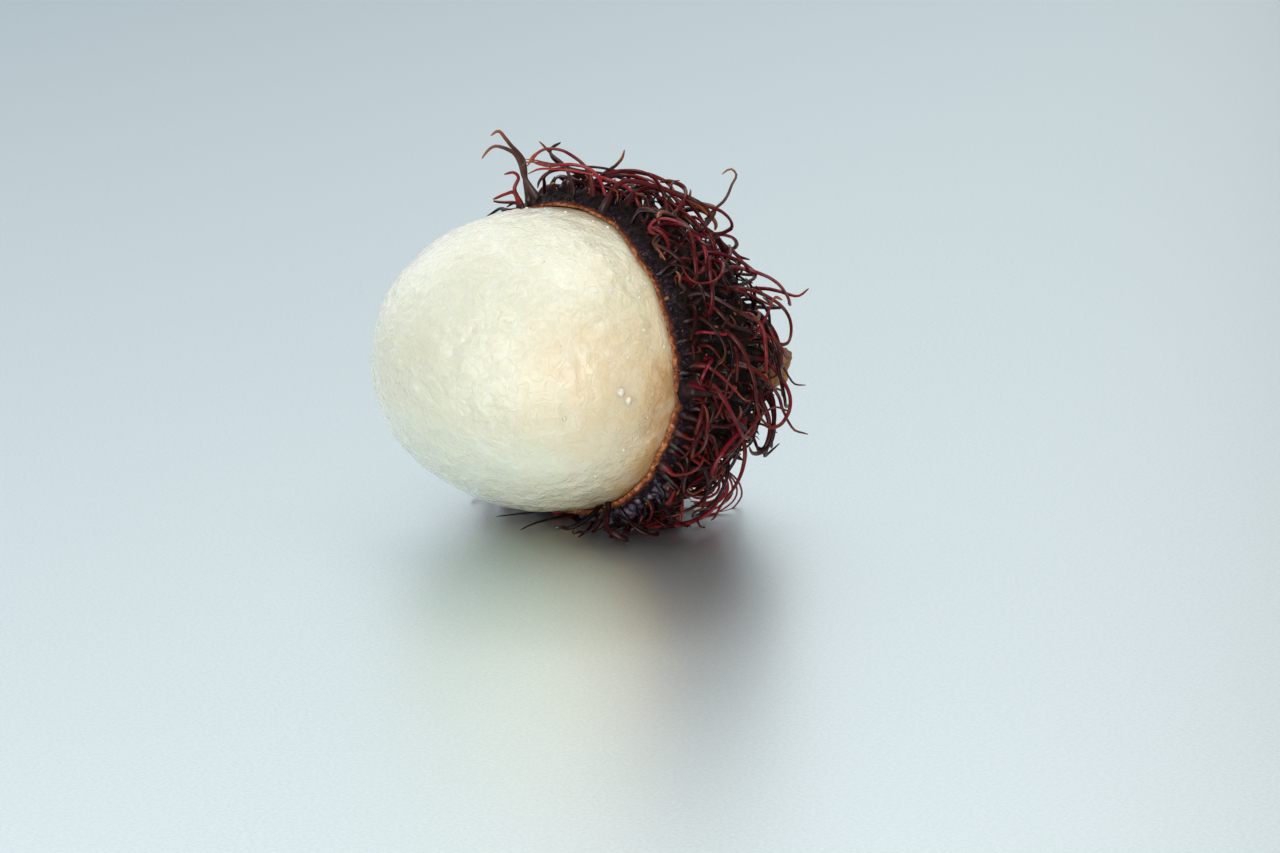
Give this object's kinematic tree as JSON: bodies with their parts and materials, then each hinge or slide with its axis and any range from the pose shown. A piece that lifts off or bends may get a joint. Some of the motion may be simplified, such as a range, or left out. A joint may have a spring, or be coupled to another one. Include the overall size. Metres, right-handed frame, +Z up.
{
  "type": "rambutan",
  "caption": "Opened rambutan: half of the dark spiny rind, torn open across the fruit, with the glossy white flesh still seated in it.",
  "frame": {"origin": "point on the surface the fruit lies on, below the middle of the spot where its underside is pressed flat", "axes": "+X towards the stem end along the fruit, +Z up from the surface it lies on; the rind's torn mouth faces -X and a little to -Y"},
  "size_m": [0.0483, 0.0447, 0.0426],
  "materials": {
    "aril_flesh": "wet, glossy, translucent white flesh with fine wrinkles",
    "rind_skin": "dark leathery skin, blackish between maroon and rust-tipped spines",
    "stub_cork": "rough, dry and corky"
  },
  "bodies": {
    "root": {"aril": "aril_flesh", "rind_half": "rind_skin", "stem_stub": "stub_cork"}
  },
  "joints": []
}
